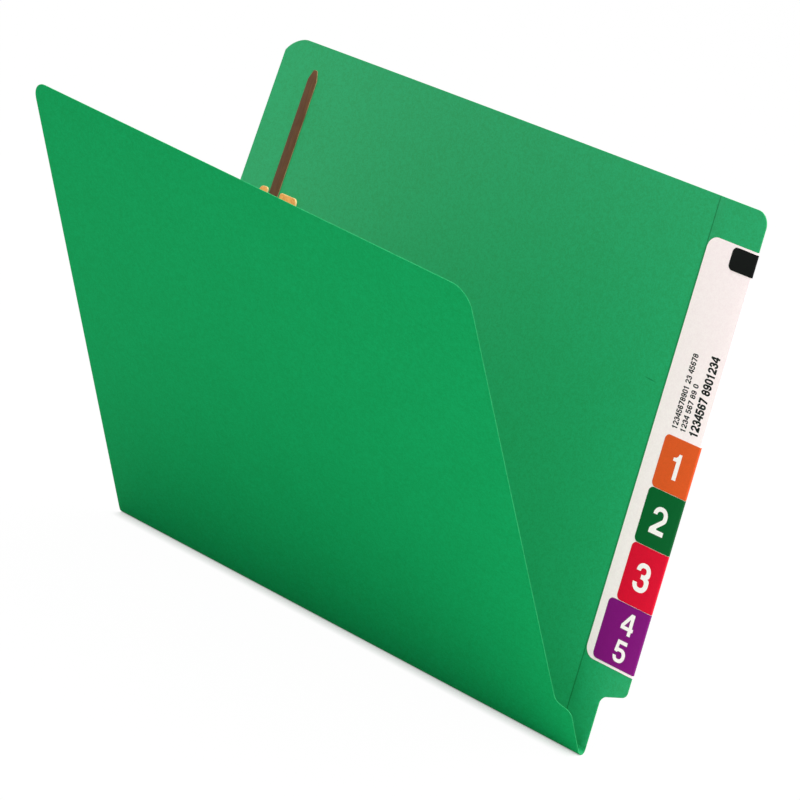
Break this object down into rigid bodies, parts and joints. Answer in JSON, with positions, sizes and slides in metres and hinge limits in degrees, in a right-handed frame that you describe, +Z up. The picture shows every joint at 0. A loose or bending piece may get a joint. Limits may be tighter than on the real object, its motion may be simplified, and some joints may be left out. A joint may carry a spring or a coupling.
{
  "type": "side tab fastener folder",
  "caption": "Letter size card folder standing open on its fold, with a side tab, a wrap-round tab label and a two-prong paper fastener on the inside of its back cover.",
  "frame": {"origin": "middle of the fold's underside, where the folder stands", "axes": "+X along the fold towards the tab, +Y towards the back cover, +Z up"},
  "size_m": [0.3114, 0.1695, 0.2383],
  "materials": {
    "card": "green dyed folder card, matte, with a fine grain",
    "front_card": "the same green card, its outer face",
    "white_label": "smooth white label paper",
    "black_label": "black printed label paper",
    "orange_label": "orange printed label paper",
    "dark_green_label": "dark green printed label paper",
    "red_label": "red printed label paper",
    "purple_label": "purple printed label paper",
    "coated_steel": "thin steel strip with a brown coating",
    "tan_board": "tan board, matte"
  },
  "bodies": {
    "fold": {"fold_strip": "card"},
    "back": {"back_cover": "card", "tab_ply": "card", "label_base": "white_label", "label_marker": "black_label", "label_first": "orange_label", "label_second": "dark_green_label", "label_third": "red_label", "label_double": "purple_label", "fastener_base": "coated_steel", "fastener_patch": "tan_board"},
    "front": {"front_cover": "front_card"},
    "upper_prong": {"prong_upper": "coated_steel"},
    "lower_prong": {"prong_lower": "coated_steel"}
  },
  "joints": [
    {"name": "back_crease", "type": "hinge", "parent": "fold", "child": "back", "pos_m": [0, 0.00154, 0.00014], "axis": [-1, 0, 0], "range_deg": [-12.6, 73.5]},
    {"name": "front_crease", "type": "hinge", "parent": "fold", "child": "front", "pos_m": [0, -0.00154, 0.00014], "axis": [1, 0, 0], "range_deg": [-22.9, 64]},
    {"name": "upper_prong_bend", "type": "hinge", "parent": "back", "child": "upper_prong", "pos_m": [-0.12402, 0.04298, 0.15009], "axis": [0.9985, -0.0525, 0.0147], "range_deg": [0, 105], "deforming": ["prong_upper"]},
    {"name": "lower_prong_bend", "type": "hinge", "parent": "back", "child": "lower_prong", "pos_m": [-0.12402, 0.02421, 0.08281], "axis": [-0.9995, 0.029, -0.0081], "range_deg": [0, 105], "deforming": ["prong_lower"]}
  ]
}
